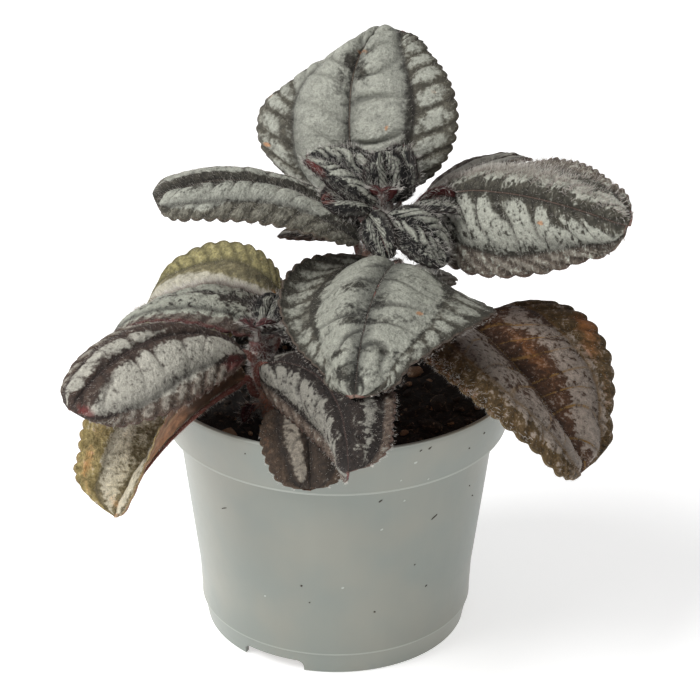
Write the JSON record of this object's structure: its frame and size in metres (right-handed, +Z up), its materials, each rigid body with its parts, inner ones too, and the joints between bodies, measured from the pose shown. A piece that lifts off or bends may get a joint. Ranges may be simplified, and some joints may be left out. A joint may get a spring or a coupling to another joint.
{
  "type": "potted friendship plant",
  "caption": "Free-standing house plant: leafy shoots of silver-banded, toothed leaves in soil inside a round tapered nursery pot with a deep rim band and notched foot.",
  "frame": {"origin": "On the surface that the pot stands on, under the middle of the whole plant's bounding box. The pot's own axis is 3.8 mm towards -X and 15.4 mm towards +Y of it, because the leaves reach further to the front.", "axes": "+Z up along the pot's axis, -Y towards the front of the plant as the picture shows it, +X to the right seen from the front."},
  "size_m": [0.1704, 0.1508, 0.1874],
  "materials": {
    "pot_plastic": "satin injection-moulded plastic, light grey-green",
    "soil": "loose dark potting soil with bark crumbs, matte",
    "stem": "pinkish brown succulent skin with white hairs",
    "leaf_silver": "puckered leaf, silver bands on dark olive green, hairy",
    "leaf_dark": "puckered leaf, dark olive to purple with narrow silver bands, crimson beneath",
    "leaf_bronze": "older leaf, bronze brown with mauve-silver band and orange hairs",
    "leaf_old": "old leaf, silver-beige and olive with yellow and orange margin"
  },
  "bodies": {
    "root": {"pot": "pot_plastic", "soil": "soil", "main_stem": "stem", "side_shoot": "stem", "leaf_top_back": "leaf_silver", "leaf_top_left": "leaf_silver", "leaf_top_right": "leaf_silver", "leaf_top_right_back": "leaf_dark", "leaf_middle_front": "leaf_silver", "leaf_middle_back": "leaf_dark", "leaf_low_right": "leaf_bronze", "leaf_low_left_back": "leaf_old", "leaf_low_back": "leaf_silver", "leaf_lowest_back": "leaf_dark", "leaf_side_left": "leaf_silver", "leaf_side_upper": "leaf_dark", "leaf_side_old": "leaf_old", "leaf_side_front": "leaf_dark", "leaf_side_low": "leaf_bronze"}
  },
  "joints": []
}
